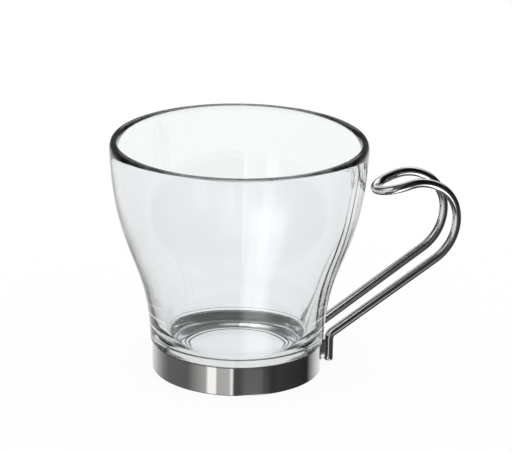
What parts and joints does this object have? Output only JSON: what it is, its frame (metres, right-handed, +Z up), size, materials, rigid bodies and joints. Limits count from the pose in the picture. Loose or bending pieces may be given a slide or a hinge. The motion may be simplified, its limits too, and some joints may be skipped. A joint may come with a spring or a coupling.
{
  "type": "espresso cup",
  "caption": "Small clear glass cup with a flared waist, its foot set in a steel band that carries an open hooked handle bent from one length of wire.",
  "frame": {"origin": "on the cup's axis, in the middle of the base ring, on the surface that the cup stands on", "axes": "+Z up along the cup's axis, +X towards the handle, so the handle's two legs lie either side of the XZ plane"},
  "size_m": [0.0979, 0.0702, 0.065],
  "materials": {
    "clear_glass": "clear polished glass with a faint cool tint",
    "clear_silicone": "translucent silicone",
    "band_steel": "polished stainless steel with fine drawn lines round the band",
    "wire_steel": "mirror-polished stainless wire"
  },
  "bodies": {
    "root": {"glass_cup": "clear_glass", "silicone_seat": "clear_silicone", "base_band": "band_steel", "wire_handle": "wire_steel"}
  },
  "joints": []
}
